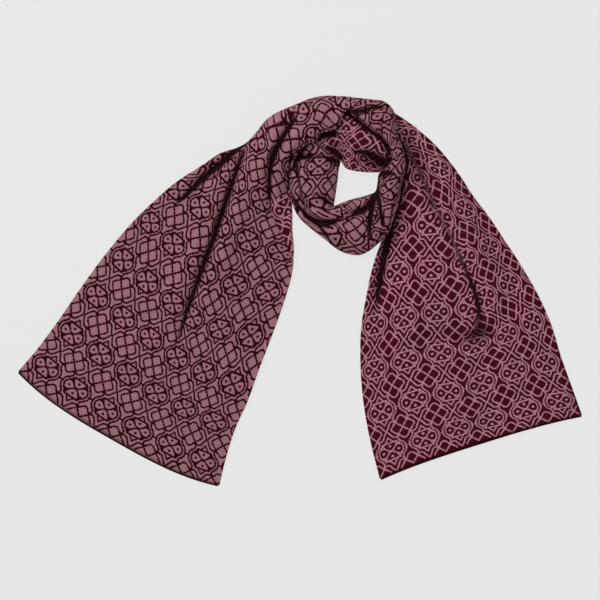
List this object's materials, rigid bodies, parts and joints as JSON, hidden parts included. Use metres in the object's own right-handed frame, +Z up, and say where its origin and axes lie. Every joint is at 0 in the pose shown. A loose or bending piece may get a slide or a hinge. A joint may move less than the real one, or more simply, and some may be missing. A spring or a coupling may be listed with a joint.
{
  "type": "knitted scarf",
  "caption": "Double-sided knitted scarf laid flat, wound once into an open neck loop with both tails spread below it.",
  "frame": {"origin": "middle of the scarf's outline as it lies, on the surface it rests on", "axes": "+X to the viewer's right across both tails, +Y from the tails' hems towards the neck loop, +Z up out of the cloth"},
  "size_m": [0.773, 0.5347, 0.04],
  "materials": {
    "pink_ground_knit": "matt two-colour knit, dusty pink ground with burgundy lines",
    "burgundy_ground_knit": "matt two-colour knit, burgundy ground with dusty pink lines"
  },
  "bodies": {
    "root": {"left_tail": "pink_ground_knit", "top_band": "pink_ground_knit", "right_column": "pink_ground_knit", "front_bowl": "pink_ground_knit", "inner_left": "pink_ground_knit", "inner_top": "burgundy_ground_knit", "right_tail": "burgundy_ground_knit", "hidden_layers": "burgundy_ground_knit"}
  },
  "joints": []
}
